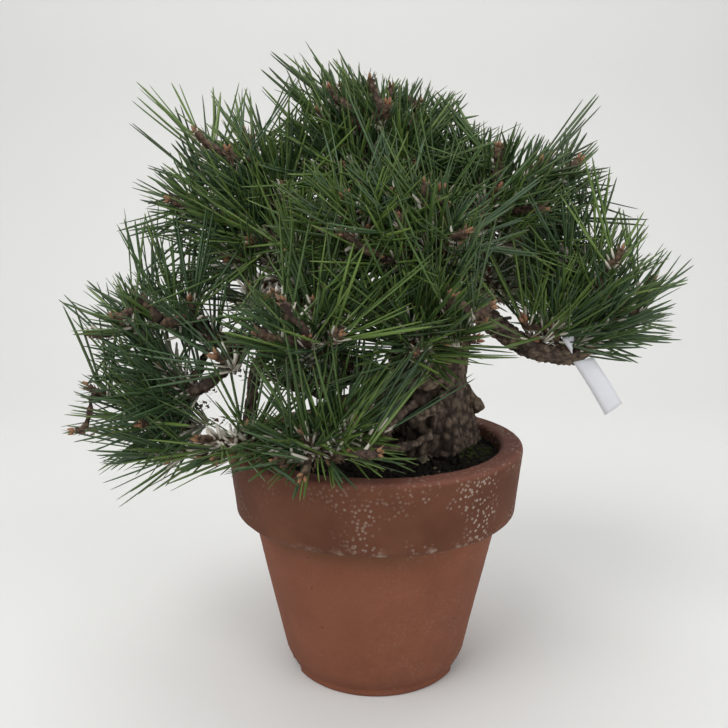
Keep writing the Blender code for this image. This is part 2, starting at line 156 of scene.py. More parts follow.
# Masses of needles: where the bough ends, its radius there, and how many shoots grow from it
MASSES = {
    "crown_top": ((4, -8, 240), 5.0, 29),
    "crown_left": ((-38, -8, 225), 3.8, 20),
    "crown_right": ((54, -4, 230), 4.0, 21),
    "crown_front": ((30, -38, 210), 3.4, 17),
    "left_mid": ((-70, -24, 172), 4.0, 12),
    "left_low": ((-97, -20, 144), 2.4, 12),
    "left_inner": ((-38, -18, 194), 2.6, 8),
    "low_left_front": ((-61, -42, 133), 2.3, 8),
    "front_left": ((-22, -58, 171), 2.8, 13),
    "front_right": ((16, -59, 176), 2.8, 12),
    "low_front": ((-26, -66, 132), 2.4, 12),
    "right_pad": ((98, -11, 163), 3.0, 20),
    "back_top": ((8, 46, 220), 4.2, 32),
    "back_left": ((-38, 38, 189), 3.6, 22),
    "back_right": ((64, 42, 195), 3.6, 22),
    "low_back": ((-14, 32, 145), 2.8, 14),
}

# Shoots that the photograph shows: the bud's column, row and depth, the shoot's direction in the
# picture in degrees, and how much it turns to the viewer
SHOOTS = {
    "crown_top": (
        (371, 152, -15, 65, 0.4), (352, 150, -5, 112, 0.1), (404, 150, 6, 62, 0.1),
        (345, 128, 4, 96, 0.0), (392, 128, 12, 84, 0.0), (330, 168, -12, 128, 0.3),
        (425, 160, 2, 48, 0.2),
    ),
    "crown_left": (
        (286, 189, -20, 82, 0.4), (270, 200, -12, 134, 0.2), (250, 215, -10, 104, 0.1),
        (238, 221, -15, 150, 0.2), (255, 240, -25, 172, 0.3), (231, 260, -15, 175, 0.2),
        (278, 178, -4, 108, 0.1), (289, 248, -45, 130, 1.7), (262, 185, -6, 140, 0.1),
    ),
    "crown_right": (
        (478, 188, 0, 106, 0.1), (495, 191, -20, 58, 0.4), (515, 240, -10, 18, 0.3),
        (528, 196, 0, 34, 0.1), (440, 192, -30, 82, 0.6), (470, 235, -35, 24, 0.6),
        (505, 212, -10, 30, 0.3),
    ),
    "crown_front": (
        (445, 254, -45, 172, 0.9), (442, 258, -42, 20, 0.9), (369, 232, -55, 50, 1.0),
        (359, 216, -52, 120, 0.9), (346, 199, -60, 98, 0.8), (422, 245, -40, 200, 0.7),
    ),
    "left_mid": (
        (182, 313, -5, 96, 0.1), (218, 358, -45, 138, 0.5), (163, 370, -20, 148, 0.2),
        (177, 387, -20, 172, 0.3), (205, 330, -15, 118, 0.2), (158, 348, -12, 138, 0.1),
    ),
    "left_low": (
        (170, 405, -18, 178, 0.1), (187, 428, -22, 188, 0.4), (160, 452, -25, 170, 0.2),
        (172, 457, -28, 192, 0.3), (203, 457, -30, 212, 0.4), (152, 420, -20, 168, 0.2),
    ),
    "low_left_front": (
        (236, 454, -45, 188, 0.9), (216, 440, -45, 150, 0.6), (250, 430, -50, 84, 0.7),
    ),
    "left_inner": (
        (300, 268, -30, 100, 0.7), (270, 300, -25, 150, 0.7), (250, 290, -20, 112, 0.5),
    ),
    "front_left": (
        (313, 346, -60, 165, 0.9), (306, 350, -62, 105, 1.0), (272, 345, -55, 150, 0.6),
        (322, 332, -60, 70, 0.6),
    ),
    "front_right": (
        (415, 343, -62, 150, 0.9), (417, 345, -62, 28, 0.8), (398, 330, -55, 104, 0.7),
        (440, 342, -55, 8, 0.6),
    ),
    "low_front": (
        (304, 475, -88, 225, 1.5), (327, 438, -65, 60, 1.1), (328, 455, -70, 330, 0.9),
        (352, 432, -60, 18, 0.6), (282, 440, -62, 160, 0.6),
    ),
    "right_pad": (
        (525, 322, -15, 112, 0.4), (545, 328, -15, 84, 0.4), (561, 321, -15, 62, 0.5),
        (585, 336, -10, 48, 0.3), (602, 325, -5, 18, 0.2), (568, 301, -10, 78, 0.2),
        (559, 275, -5, 88, 0.1), (604, 336, -10, 4, 0.3), (586, 346, -10, 352, 0.3),
        (540, 338, -12, 196, 0.4),
    ),
}

# How the other shoots spread through a mass
MASS_FILL, MASS_BOX, SPACING_SHARE, SPACING_EASE = 0.86, 0.74, 0.62, 0.9
MOST_TRIES, EASE_EVERY = 4000, 400
OUTWARD, UPWARD, STRAY = 0.9, 0.5, 0.25

# Twigs
TWIG_SIDES, TWIG_STEPS, TWIG_WOBBLE = 8, 6, 0.8
TIP_RADIUS, TAPER_POWER, CURVE_REACH, DETOUR = 1.3, 0.6, 0.38, 0.3
FORK_SWELL = 1.25

# Scales, buds and sheaths: the seen shoots carry more and larger ones
SCALES, HIDDEN_SCALES, SCALED_LENGTH, SCALE_SIZE = 34, 18, 22, (1.3, 2.4)
SHOOT_RADIUS = 1.5
BUDS, HIDDEN_BUDS, BUD_LENGTH, BUD_RADIUS = (3, 5), (1, 3), 4.6, 1.15
BUD_RINGS = ((0.0, 0.55), (0.25, 1.0), (0.55, 0.9), (0.8, 0.5))
BUD_SIDES, BUD_TURN, BUD_SPREAD = 6, 2.1, 0.5
SHEATH_LENGTH, SHEATH_SIDES, SHEATH_RAG = (4.0, 7.0), 5, 0.35
SHEATH_RINGS = ((-0.1, 0.6), (0.45, 0.75), (1.0, 0.6))

# Needles
NEEDLE_LENGTH = (38.0, 52.0)
NEEDLE_WIDTH = (1.15, 1.55)
NEEDLE_STATIONS = (0.0, 0.16, 0.4, 0.64, 0.85, 0.96)
NEEDLE_TAPER = (0.7, 0.96, 1.0, 0.97, 0.74, 0.4)
NEEDLE_FRONT, NEEDLE_BACK = 0.62, 0.45
PAIRS, EXTRA_PAIRS = (15, 20), 6
NEEDLED_LENGTH, FIRST_TILT, MORE_TILT, TILT_STRAY, LIFT = 12, 14, 58, 7, 0.16
LENGTH_SHARES = (1.0, 0.9, 0.8, 0.7, 0.6)

# How far a needle's tip may stand out of the masses, and out of the frame's box
OUTSIDE_BY, BOX_MARGIN = 8.0, 3.0

GREENS = {
    "needles_dark": (0.032, 0.064, 0.016),
    "needles_mid": (0.052, 0.104, 0.024),
    "needles_blue": (0.045, 0.092, 0.038),
    "needles_bright": (0.090, 0.158, 0.034),
}
SEEN_GREENS = ("needles_mid", "needles_bright", "needles_blue")

# Places where the sky shows through: column, row and radius in pixels, and a factor on the radii
SKY = (
    (259, 267, 5), (274, 282, 6), (266, 288, 4), (296, 281, 4), (305, 300, 5), (238, 285, 5),
    (343, 315, 3), (271, 333, 3), (210, 307, 5), (173, 345, 5), (230, 391, 4), (213, 441, 5),
    (227, 433, 6), (208, 311, 4),
)
SKY_OPEN = 1.6

# Colours
BODY_CLAY = ((0.205, 0.072, 0.038), (0.250, 0.088, 0.048))
BAND_CLAY = ((0.105, 0.036, 0.018), (0.150, 0.056, 0.030))
# The lip colour is a painted highlight on the rounded top of the rim.
PAINTED_LIP_HIGHLIGHT, OLIVE_FILM, DARK_STAIN = (0.235, 0.092, 0.066), (0.13, 0.078, 0.035), (0.075, 0.032, 0.02)
SPECK, CRUST = (0.42, 0.34, 0.28), (0.46, 0.38, 0.31)
# The pit colour is painted shade in the clay's small pits.
PAINTED_PIT_SHADE, FINE_GRAIN = (0.05, 0.02, 0.012), (0.09, 0.038, 0.022)
SOIL_DARK = ((0.006, 0.005, 0.004), (0.022, 0.017, 0.012))
SOIL_PALE = ((0.10, 0.085, 0.06), (0.22, 0.19, 0.13))
SOIL_MOSS = ((0.022, 0.032, 0.008), (0.06, 0.075, 0.018))
# The near black crack colour is painted shade, in the bark's cracks and at the first end of each
# twig and root.
PURPLE_BARK, TAN_BARK, PAINTED_SHADE = (0.075, 0.05, 0.047), (0.20, 0.15, 0.10), (0.018, 0.012, 0.009)
TRUNK_BARK = ((0.042, 0.030, 0.023), (0.215, 0.155, 0.112))
ROOT_BARK = ((0.06, 0.042, 0.030), (0.27, 0.20, 0.15))
TWIG_BARK = ((0.045, 0.030, 0.022), (0.20, 0.13, 0.085))
SCALE_BARK = ((0.10, 0.06, 0.038), (0.30, 0.20, 0.13))
BUD_SKIN = ((0.20, 0.085, 0.040), (0.42, 0.24, 0.14))
SHEATH_PAPER = ((0.42, 0.37, 0.29), (0.78, 0.74, 0.66))
DRY_TIP, PALE_FOOT = (0.16, 0.13, 0.035), (0.16, 0.18, 0.06)
WIRE_GREY = ((0.20, 0.19, 0.18), (0.36, 0.34, 0.32))
TAG_WHITE = ((0.70, 0.70, 0.74), (0.80, 0.80, 0.84))
STUDIO_GREY = ((0.74, 0.735, 0.715), (0.76, 0.755, 0.735))
SKY_LIGHT, SKY_STRENGTH = (0.95, 0.97, 1.0, 1.0), 0.48

# Stage, in metres: a light's name, place, size and power
LIGHTS = (
    ("key", (-0.7, -0.9, 1.5), 1.1, 15),
    ("fill", (1.1, -0.9, 0.9), 1.3, 7),
    ("top", (0.0, 0.3, 1.7), 1.4, 9),
)
LIGHTS_AIM = (0, 0, 0.2)
FLOOR_BEND, FLOOR_FAR, FLOOR_NEAR, FLOOR_HALF_WIDTH, BACKDROP_TOP = 0.5, 1.1, -3.0, 6.0, 4.0
FLOOR_BEND_STEPS = 16


# Making meshes

class Builder:
    """Gathers many small shapes into one mesh, with two numbers at each point for its material."""

    def __init__(self):
        self.points, self.faces, self.along, self.tint = [], [], [], []

    def add(self, points, faces, along, tint):
        """Adds a shape. along is one number for all its points, or a list with one for each."""
        start = len(self.points)
        self.points.extend(points)
        self.faces.extend(tuple(start + i for i in face) for face in faces)
        self.along.extend(along if isinstance(along, list) else [along] * len(points))
        self.tint.extend([tint] * len(points))

    def piece(self, name, material, slot, smooth=True):
        numbers = {"along": self.along, "tint": self.tint}
        return finish_piece(name, self.points, self.faces, numbers, material, smooth)


def finish_piece(name, points, faces, numbers, material, smooth=True):
    """Makes a mesh object of these points in millimetres, and lets it ride on the frame."""
    mesh = bpy.data.meshes.new(name)
    mesh.vertices.add(len(points))
    mesh.vertices.foreach_set("co", (np.asarray(points, float) * MM).astype(np.float32).ravel())
    sizes = np.array([len(face) for face in faces])
    corners = np.concatenate([np.asarray(face) for face in faces]).astype(np.int32)
    mesh.loops.add(len(corners))
    mesh.loops.foreach_set("vertex_index", corners)
    mesh.polygons.add(len(faces))
    mesh.polygons.foreach_set("loop_start", (np.cumsum(sizes) - sizes).astype(np.int32))
    mesh.update(calc_edges=True)
    for label, values in numbers.items():
        layer = mesh.attributes.new(label, "FLOAT", "POINT")
        layer.data.foreach_set("value", np.asarray(values, np.float32))
    mesh.validate()
    piece = show(name, mesh)
    dress(piece, material, smooth)
    return piece


def show(name, data):
    """A new object in the scene."""
    made = bpy.data.objects.new(name, data)
    bpy.context.scene.collection.objects.link(made)
    return made


def dress(piece, material, smooth=True):
    """Gives a piece its material and its body."""
    mesh = piece.data
    mesh.materials.clear()
    mesh.materials.append(material)
    mesh.polygons.foreach_set("use_smooth", [smooth] * len(mesh.polygons))
    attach(piece, "root")


def frame_of(direction):
    """Two directions square to this one."""
    d = Vector(direction).normalized()
    side = d.cross(UP if abs(d.z) < 0.9 else Vector((1, 0, 0))).normalized()
    return side, d.cross(side)


def spoke(side, up, turn):
    """The direction between side and up at this turn."""
    return side * math.cos(turn) + up * math.sin(turn)


def ring_faces(rings, sides):
    """The quads of a tube whose rings follow one another."""
    return [
        (r * sides + k, r * sides + (k + 1) % sides,
         (r + 1) * sides + (k + 1) % sides, (r + 1) * sides + k)
        for r in range(rings - 1) for k in range(sides)
    ]


def first_cap(sides):
    """The face that closes a tube's first ring."""
    return tuple(reversed(range(sides)))


def tube(builder, path, radii, sides, tint):
    """A closed, uneven tube along a path."""
    points, along = [], []
    count = len(path)
    for i, centre in enumerate(path):
        before, after = path[max(i - 1, 0)], path[min(i + 1, count - 1)]
        side, up = frame_of(after - before)
        for k in range(sides):
            out = spoke(side, up, 2 * math.pi * k / sides)
            bulge = 1 + TUBE_UNEVEN * noise.noise((centre + out * radii[i]) * 0.55)
            points.append(centre + out * radii[i] * bulge)
            along.append(i / (count - 1))
    faces = ring_faces(count, sides)
    faces.append(first_cap(sides))
    faces.append(tuple(range((count - 1) * sides, count * sides)))
    builder.add(points, faces, along, tint)


def bezier(start, start_way, end, end_way, steps):
    """Points on a curve that leaves and arrives in the given directions."""
    reach = (end - start).length * CURVE_REACH
    a, b = start + start_way * reach, end - end_way * reach
    return [
        start * (1 - t) ** 3 + a * 3 * t * (1 - t) ** 2 + b * 3 * t * t * (1 - t) + end * t ** 3
        for t in (i / steps for i in range(steps + 1))
    ]


def at(column, row, depth):
    """The point that this pixel shows, at that depth."""
    forward = Vector((0, math.cos(PITCH), -math.sin(PITCH)))
    up = Vector((0, math.sin(PITCH), math.cos(PITCH)))
    across, above = (column - IMAGE / 2) / FOCAL_PX, (IMAGE / 2 - row) / FOCAL_PX
    ray = forward + Vector((1, 0, 0)) * across + up * above
    return Vector(CAMERA_AT) + ray * ((depth - CAMERA_AT[1]) / ray.y)


def pixels(points):
    """The columns and rows where an array of points falls in the picture."""
    q = np.asarray(points) - np.array(CAMERA_AT)
    forward = q[..., 1] * math.cos(PITCH) - q[..., 2] * math.sin(PITCH)
    up = q[..., 1] * math.sin(PITCH) + q[..., 2] * math.cos(PITCH)
    half = IMAGE / 2
    return half + FOCAL_PX * q[..., 0] / forward, half - FOCAL_PX * up / forward


# Materials

class Nodes:
    """A material's nodes, with short calls for the common ones."""

    def __init__(self, name, roughness, specular=0.5):
        self.material = bpy.data.materials.new(name)
        self.material.use_nodes = True
        self.tree = self.material.node_tree
        self.shader = self.tree.nodes["Principled BSDF"]
        self.shader.inputs["Roughness"].default_value = roughness
        self.shader.inputs["Specular IOR Level"].default_value = specular
        self.place = self.tree.nodes.new("ShaderNodeTexCoord").outputs["Object"]

    def put(self, kind, values=(), **links):
        """A node with these values on its sockets, and these sockets linked."""
        node = self.tree.nodes.new(kind)
        for key, value in values:
            node.inputs[key].default_value = value
        for key, source in links.items():
            self.tree.links.new(source, node.inputs[key])
        return node

    def noise(self, scale, detail=4.0, rough=0.55):
        values = (("Scale", scale), ("Detail", detail), ("Roughness", rough))
        return self.put("ShaderNodeTexNoise", values, Vector=self.place).outputs["Fac"]

    def cells(self, scale):
        """The distance to the nearest cell's middle."""
        node = self.put("ShaderNodeTexVoronoi", (("Scale", scale),), Vector=self.place)
        return node.outputs["Distance"]

    def attribute(self, name):
        node = self.tree.nodes.new("ShaderNodeAttribute")
        node.attribute_name = name
        return node.outputs["Fac"]

    def axes(self):
        return self.put("ShaderNodeSeparateXYZ", Vector=self.place).outputs

    def fit(self, value, low, high, to_low=0.0, to_high=1.0):
        """The value from low to high, fitted to another range and kept inside it."""
        limits = (("From Min", low), ("From Max", high), ("To Min", to_low), ("To Max", to_high))
        return self.put("ShaderNodeMapRange", limits, Value=value).outputs["Result"]

    def maths(self, operation, a, b):
        node = self.tree.nodes.new("ShaderNodeMath")
        node.operation = operation
        for socket, value in zip(node.inputs, (a, b)):
            if isinstance(value, (int, float)):
                socket.default_value = value
            else:
                self.tree.links.new(value, socket)
        return node.outputs[0]

    def times(self, a, b):
        return self.maths("MULTIPLY", a, b)

    def mix(self, share, a, b):
        """Colour a where the share is 0, and b where it is 1."""
        node = self.tree.nodes.new("ShaderNodeMix")
        node.data_type = "RGBA"
        self.tree.links.new(share, node.inputs["Factor"])
        for socket, value in ((node.inputs[6], a), (node.inputs[7], b)):
            if isinstance(value, tuple):
                socket.default_value = (*value, 1.0)
            else:
                self.tree.links.new(value, socket)
        return node.outputs[2]

    def colour(self, source):
        self.tree.links.new(source, self.shader.inputs["Base Color"])

    def bump(self, source, strength, distance):
        values = (("Strength", strength), ("Distance", distance))
        node = self.put("ShaderNodeBump", values, Height=source)
        self.tree.links.new(node.outputs["Normal"], self.shader.inputs["Normal"])


def terracotta_material():
    """Two clays, painted highlight on the lip, olive film under the band, stains, mineral specks,
    painted shade in pits, fine grain.
    """
    n = Nodes("weathered_terracotta", 0.82, 0.25)
    axes = n.axes()
    z, x = axes["Z"], axes["X"]
    band_foot, top = BAND_BOTTOM * MM, POT_HEIGHT * MM
    body = n.mix(n.fit(n.noise(28), 0.35, 0.65), *BODY_CLAY)
    band = n.mix(n.fit(n.noise(35), 0.35, 0.65), *BAND_CLAY)
    base = n.mix(n.fit(z, band_foot - MM, band_foot), body, band)
    wavy = n.maths("ADD", z, n.fit(n.noise(60), 0, 1, -MM, MM))
    lip = n.fit(wavy, top - 2.5 * MM, top - 0.5 * MM)
    # Painted highlight: the rounded top of the lip is made paler.
    base = n.mix(n.times(lip, 0.8), base, PAINTED_LIP_HIGHLIGHT)
    olive = n.times(n.fit(z, 0.072, 0.084), n.fit(n.noise(22), 0.42, 0.6, 0, 0.55))
    olive = n.times(olive, n.fit(z, band_foot, band_foot - MM))
    base = n.mix(olive, base, OLIVE_FILM)
    low = n.fit(z, 0.1, 0.0, 0.3, 1.0)
    stain = n.times(n.fit(n.noise(16, 6, 0.7), 0.52, 0.72, 0, 0.5), low)
    base = n.mix(stain, base, DARK_STAIN)
    right = n.fit(x, -0.04, 0.04, 0.2, 1.0)
    specks = n.times(n.fit(n.cells(480), 0.4, 0.26), n.fit(n.noise(45, 3), 0.45, 0.6))
    near_band = n.fit(z, 0.078, 0.09)
    specks = n.times(specks, n.times(right, n.maths("ADD", near_band, 0.12)))
    base = n.mix(n.times(specks, 0.75), base, SPECK)
    below, above = n.fit(z, 0.0815, 0.0845), n.fit(z, 0.0885, 0.0855)
    crust = n.times(n.times(n.times(below, above), n.fit(n.noise(120, 4), 0.55, 0.66)), right)
    base = n.mix(n.times(crust, 0.8), base, CRUST)
    pits = n.fit(n.cells(75), 0.05, 0.035)
    # Painted shade: the small pits are darkened.
    base = n.mix(n.times(pits, 0.8), base, PAINTED_PIT_SHADE)
    n.colour(n.mix(n.fit(n.noise(900, 3), 0.3, 0.7, 0, 0.22), base, FINE_GRAIN))
    n.bump(n.maths("SUBTRACT", n.noise(420, 5), pits), 0.35, 0.0006)
    return n.material


def soil_material():
    """Dark grit, with moss and pale grains where the tint says so."""
    n = Nodes("dark_soil", 0.95, 0.2)
    dark = n.mix(n.fit(n.noise(500), 0.35, 0.65), *SOIL_DARK)
    pale = n.mix(n.noise(700), *SOIL_PALE)
    tint = n.attribute("tint")
    green = n.mix(n.noise(800), *SOIL_MOSS)
    base = n.mix(n.fit(tint, 0.45, 0.55), dark, green)
    n.colour(n.mix(n.fit(tint, 0.8, 0.9), base, pale))
    n.bump(n.noise(1500, 5), 0.7, 0.0006)
    return n.material


def bark_material(name, colours, plate_scale):
    """Scaly bark, darkest where "along" is near nothing, with painted shade in a crack or at a
    twig's foot.
    """
    dark, light = colours
    n = Nodes(name, 0.9, 0.25)
    cells = n.fit(n.cells(plate_scale), 0.1, 0.7)
    base = n.mix(cells, light, dark)
    base = n.mix(n.fit(n.noise(70, 5), 0.5, 0.68, 0, 0.6), base, PURPLE_BARK)
    base = n.mix(n.fit(n.noise(110, 4), 0.56, 0.7, 0, 0.7), base, TAN_BARK)
    # Painted shade where "along" is near nothing: in cracks, and at the first end of twigs and
    # roots.
    base = n.mix(n.fit(n.attribute("along"), 0.35, 0.0, 0, 0.85), base, PAINTED_SHADE)
    n.colour(base)
    n.bump(n.maths("ADD", n.noise(900, 5, 0.7), cells), 0.6, 0.0008)
    return n.material


def needle_material(name, base):
    """A green that varies from needle to needle, paler at the foot and drier at the tip."""
    n = Nodes(name, 0.42, 0.5)
    along = n.attribute("along")
    low = tuple(channel * 0.8 for channel in base)
    high = tuple(channel * k for channel, k in zip(base, (1.5, 1.35, 1.25)))
    green = n.mix(n.attribute("tint"), low, high)
    green = n.mix(n.fit(along, 0.93, 1.0, 0, 0.75), green, DRY_TIP)
    n.colour(n.mix(n.fit(along, 0.14, 0.0, 0, 0.55), green, PALE_FOOT))
    n.bump(n.noise(600, 2), 0.12, 0.0003)
    return n.material


def mottled_material(name, colours, scale, roughness=0.8, metallic=0.0):
    """Two near colours, mixed by noise."""
    n = Nodes(name, roughness, 0.3)
    n.shader.inputs["Metallic"].default_value = metallic
    n.colour(n.mix(n.noise(scale), *colours))
    n.bump(n.noise(scale * 2), 0.25, 0.0003)
    return n.material


# Pot and soil

def quarter(radius, first):
    """A quarter of the lip's rounding round this radius, from this angle in degrees on."""
    turns = [math.radians(first + 90 * i / LIP_STEPS) for i in range(LIP_STEPS + 1)]
    height = POT_HEIGHT - LIP_ROUND
    return [(radius + LIP_ROUND * math.cos(t), height + LIP_ROUND * math.sin(t)) for t in turns]


def pot_profile():
    """The pot's cross-section as (radius, height), from the drain hole and round to it again."""
    inner_top = RIM_RADIUS - LIP_WIDTH
    foot_inside = FOOT_RADIUS - FOOT_WIDTH
    outline = [
        (DRAIN_RADIUS, BASE_TOP), (DRAIN_RADIUS, FOOT_RECESS), (foot_inside, FOOT_RECESS),
        (foot_inside, FOOT_ROUND_IN), (foot_inside + FOOT_ROUND_IN, 0.0),
        (FOOT_RADIUS - FOOT_ROUND_OUT, 0.0), (FOOT_RADIUS, FOOT_ROUND_OUT),
        (FOOT_RADIUS, FOOT_HEIGHT - 1.2), (FOOT_RADIUS + 0.3, FOOT_HEIGHT),
        (SHOULDER_RADIUS - 1.3, SHOULDER_HEIGHT - 3.0), (SHOULDER_RADIUS, SHOULDER_HEIGHT),
        (BODY_TOP_RADIUS - 0.6, BAND_BOTTOM - 2.0), (BODY_TOP_RADIUS + 0.4, BAND_BOTTOM - 0.3),
        (BAND_FOOT_RADIUS - BAND_EDGE, BAND_BOTTOM), (BAND_FOOT_RADIUS, BAND_BOTTOM + BAND_EDGE),
        (BAND_TAPER_RADIUS, BAND_TAPER_FROM), (RIM_RADIUS, POT_HEIGHT - LIP_ROUND - 1.0),
    ]
    outline += quarter(RIM_RADIUS - LIP_ROUND, 0)
    outline += quarter(inner_top + LIP_ROUND, 90)
    outline += [
        (inner_top - 0.6, 108.0), (BODY_TOP_RADIUS - WALL + 1.5, BAND_BOTTOM),
        (SHOULDER_RADIUS - WALL, BASE_TOP + 1.5), (SHOULDER_RADIUS - WALL - 1.5, BASE_TOP),
    ]
    return resample(outline)


def resample(outline):
    """The same outline with points no further apart than the pot's step."""
    out = []
    for (r0, z0), (r1, z1) in zip(outline, outline[1:] + outline[:1]):
        steps = max(1, math.ceil(math.hypot(r1 - r0, z1 - z0) / POT_STEP))
        out += [(r0 + (r1 - r0) * i / steps, z0 + (z1 - z0) * i / steps) for i in range(steps)]
    return out


def notch_raise(angle, radius, height):
    """Lifts the foot ring's underside where a notch is."""
    if radius < FOOT_RADIUS - FOOT_WIDTH - 1 or height >= FOOT_RECESS:
        return height
    for middle in NOTCH_ANGLES:
        off = (math.degrees(angle) - middle + 180) % 360 - 180
        if abs(math.radians(off)) * FOOT_RADIUS < NOTCH_WIDTH / 2:
            return max(height, FOOT_RECESS)
    return height


def thrown(place):
    """How far the clay stands off its true shape here."""
    ring_size, ring_scale = THROWN_RINGS
    uneven = sum(size * noise.noise(place * fine) for size, fine in THROWN_WAVES)
    uneven += ring_size * noise.noise(Vector((0, 3, place.z * ring_scale)))
    return min(uneven, MOST_SWELL)


def pot_point(angle, radius, height):
    """A point of the thrown and worn pot."""
    way = Vector((math.cos(angle), math.sin(angle), 0))
    worn = thrown(way * radius + UP * height) if height > 1 else 0.0
    place = way * (radius + worn) + UP * notch_raise(angle, radius, height)
    if height > POT_HEIGHT - 1:
        size, fine = LIP_WAVE
        place.z += size * noise.noise(place * fine) - LIP_SINK
    return place


def make_pot():
    profile = pot_profile()
    count = len(profile)
    points, faces = [], []
    for s in range(POT_SEGMENTS):
        angle = 2 * math.pi * s / POT_SEGMENTS
        points += [pot_point(angle, radius, height) for radius, height in profile]
        nxt = (s + 1) % POT_SEGMENTS
        for k in range(count):
            j = (k + 1) % count
            faces.append((s * count + k, s * count + j, nxt * count + j, nxt * count + k))
    pot = finish_piece("terracotta_pot", points, faces, {}, terracotta_material())
    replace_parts(pot, "pot")


def icosahedron():
    """The corners and faces of a solid of twenty triangles."""
    g = (1 + math.sqrt(5)) / 2
    corners = (
        (-1, g, 0), (1, g, 0), (-1, -g, 0), (1, -g, 0), (0, -1, g), (0, 1, g),
        (0, -1, -g), (0, 1, -g), (g, 0, -1), (g, 0, 1), (-g, 0, -1), (-g, 0, 1),
    )
    faces = (
        (0, 11, 5), (0, 5, 1), (0, 1, 7), (0, 7, 10), (0, 10, 11), (1, 5, 9), (5, 11, 4),
        (11, 10, 2), (10, 7, 6), (7, 1, 8), (3, 9, 4), (3, 4, 2), (3, 2, 6), (3, 6, 8),
        (3, 8, 9), (4, 9, 5), (2, 4, 11), (6, 2, 10), (8, 6, 7), (9, 8, 1),
    )
    return corners, faces


def lump(builder, centre, size, tint, flat=0.8):
    """A small uneven stone."""
    corners, faces = icosahedron()
    spin = RNG.uniform(0, math.pi)
    c, s = math.cos(spin), math.sin(spin)
    points = []
    for x, y, z in corners:
        k = size / 1.9 * RNG.uniform(0.75, 1.15)
        points.append(Vector(centre) + Vector((c * x - s * y, s * x + c * y, z * flat)) * k)
    builder.add(points, faces, 1.0, tint)


def soil_height(x, y):
    """The soil's level, with its small hollows and the moss's mound."""
    away = math.hypot(x - MOSS_AT[0], y - MOSS_AT[1])
    height = SOIL_TOP + MOSS_RISE * max(0.0, 1 - away / MOSS_REACH)
    for size, fine, seed in SOIL_WAVES:
        height += size * noise.noise((x * fine, y * fine, seed))
    return height


def soil_body(soil):
    """The soil's uneven top, and the flat underside below it."""
    sides, points = SOIL_SIDES, [Vector((0, 0, soil_height(0, 0)))]
    turns = [2 * math.pi * k / sides for k in range(sides)]
    for r in range(1, SOIL_RINGS + 1):
        for turn in turns:
            x, y = (SOIL_RADIUS * r / SOIL_RINGS * f(turn) for f in (math.cos, math.sin))
            points.append(Vector((x, y, soil_height(x, y))))
    for turn in turns:
        x, y = SOIL_UNDER_RADIUS * math.cos(turn), SOIL_UNDER_RADIUS * math.sin(turn)
        points.append(Vector((x, y, SOIL_TOP - SOIL_DEPTH)))
    faces = [(0, 1 + k, 1 + (k + 1) % sides) for k in range(sides)]
    for r in range(SOIL_RINGS):
        base, over = 1 + r * sides, 1 + (r + 1) * sides
        faces += [(base + k, over + k, over + (k + 1) % sides, base + (k + 1) % sides)
                  for k in range(sides)]
    faces.append(tuple(reversed(range(1 + SOIL_RINGS * sides, 1 + (SOIL_RINGS + 1) * sides))))
    soil.add(points, faces, 1.0, DARK)


def make_soil():
    soil = Builder()
    soil_body(soil)
    for _ in range(GRANULES):
        radius = SOIL_RADIUS * GRANULE_REACH * math.sqrt(RNG.random())
        turn = RNG.uniform(0, 2 * math.pi)
        x, y = radius * math.cos(turn), radius * math.sin(turn)
        away = math.hypot(x - MOSS_AT[0], y - MOSS_AT[1])
        if away < MOSS_REACH * RNG.uniform(0.5, 1.1):
            tint = MOSSY
        else:
            tint = PALE if RNG.random() < PALE_SHARE else DARK
        size = RNG.uniform(*(GRANULE_SIZE if tint == DARK else SMALL_GRANULE_SIZE))
        lump(soil, (x, y, soil_height(x, y) + size * 0.2), size, tint)
    lump(soil, STONE_AT, STONE_SIZE, PALE, STONE_FLAT)
    piece = soil.piece("soil_surface", soil_material(), "soil", smooth=False)
    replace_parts(piece, "soil")


# Wood

def wood_skin():
    """One closed mesh round the frame's trunk and boughs."""
    points, faces = [], []
    for name in ["trunk"] + BOUGHS:
        mesh, start = NODES[name].data, len(points)
        points += [v.co + v.normal * WOOD_PROUD * MM for v in mesh.vertices]
        faces += [tuple(start + i for i in p.vertices) for p in mesh.polygons]
    raw = bpy.data.meshes.new("wood_raw")
    raw.from_pydata(points, [], faces)
    holder = show("wood_raw", raw)
    remesh = holder.modifiers.new("skin", "REMESH")
    remesh.mode = "VOXEL"
    remesh.voxel_size = WOOD_VOXEL * MM
    relax = holder.modifiers.new("relax", "SMOOTH")
    relax.factor = 0.6
    relax.iterations = 3
    depsgraph = bpy.context.evaluated_depsgraph_get()
    made = bpy.data.meshes.new_from_object(holder.evaluated_get(depsgraph))
    bpy.data.objects.remove(holder)
    made.name = "bark_skin"
    return made


def make_wood():
    """The trunk and boughs with the bark's relief."""
    mesh = wood_skin()
    skin = show("bark_skin", mesh)
    # These numbers also set where the bark material paints shade into the cracks.
    cracks = carve(mesh)
    mesh.attributes.new("along", "FLOAT", "POINT").data.foreach_set("value", cracks)
    dress(skin, bark_material("trunk_bark", TRUNK_BARK, 260))
    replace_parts(skin, "trunk", *BOUGHS)


def bark_at(p):
    """How far the bark stands out at this point, and how clear of a crack it is."""
    near_trunk = math.hypot(p.x - TRUNK_AT[0], p.y - TRUNK_AT[1]) < TRUNK_REACH
    on_trunk = p.x ** 2 * TRUNK_SIDE + 0.3 < 1 and near_trunk
    thick = 1.0 if on_trunk else BOUGH_RELIEF
    scale = PLATE_SCALE if on_trunk else BOUGH_PLATE_SCALE
    warped = Vector((p.x, p.y, p.z * PLATE_STRETCH)) * scale + noise.noise_vector(p * 0.12) * 0.35
    distance = noise.voronoi(warped)[0]
    plate = min((distance[1] - distance[0]) * CRACK_WIDTH, 1.0)
    grit = noise.noise(p * 0.5) * 0.5 + noise.noise(p * 1.3) * 0.3
    relief = thick * (PLATE_RISE * plate - PLATE_SINK) + GRIT_RELIEF * grit * thick
    return relief, min(max(plate + 0.3 * grit, 0.0), 1.0)


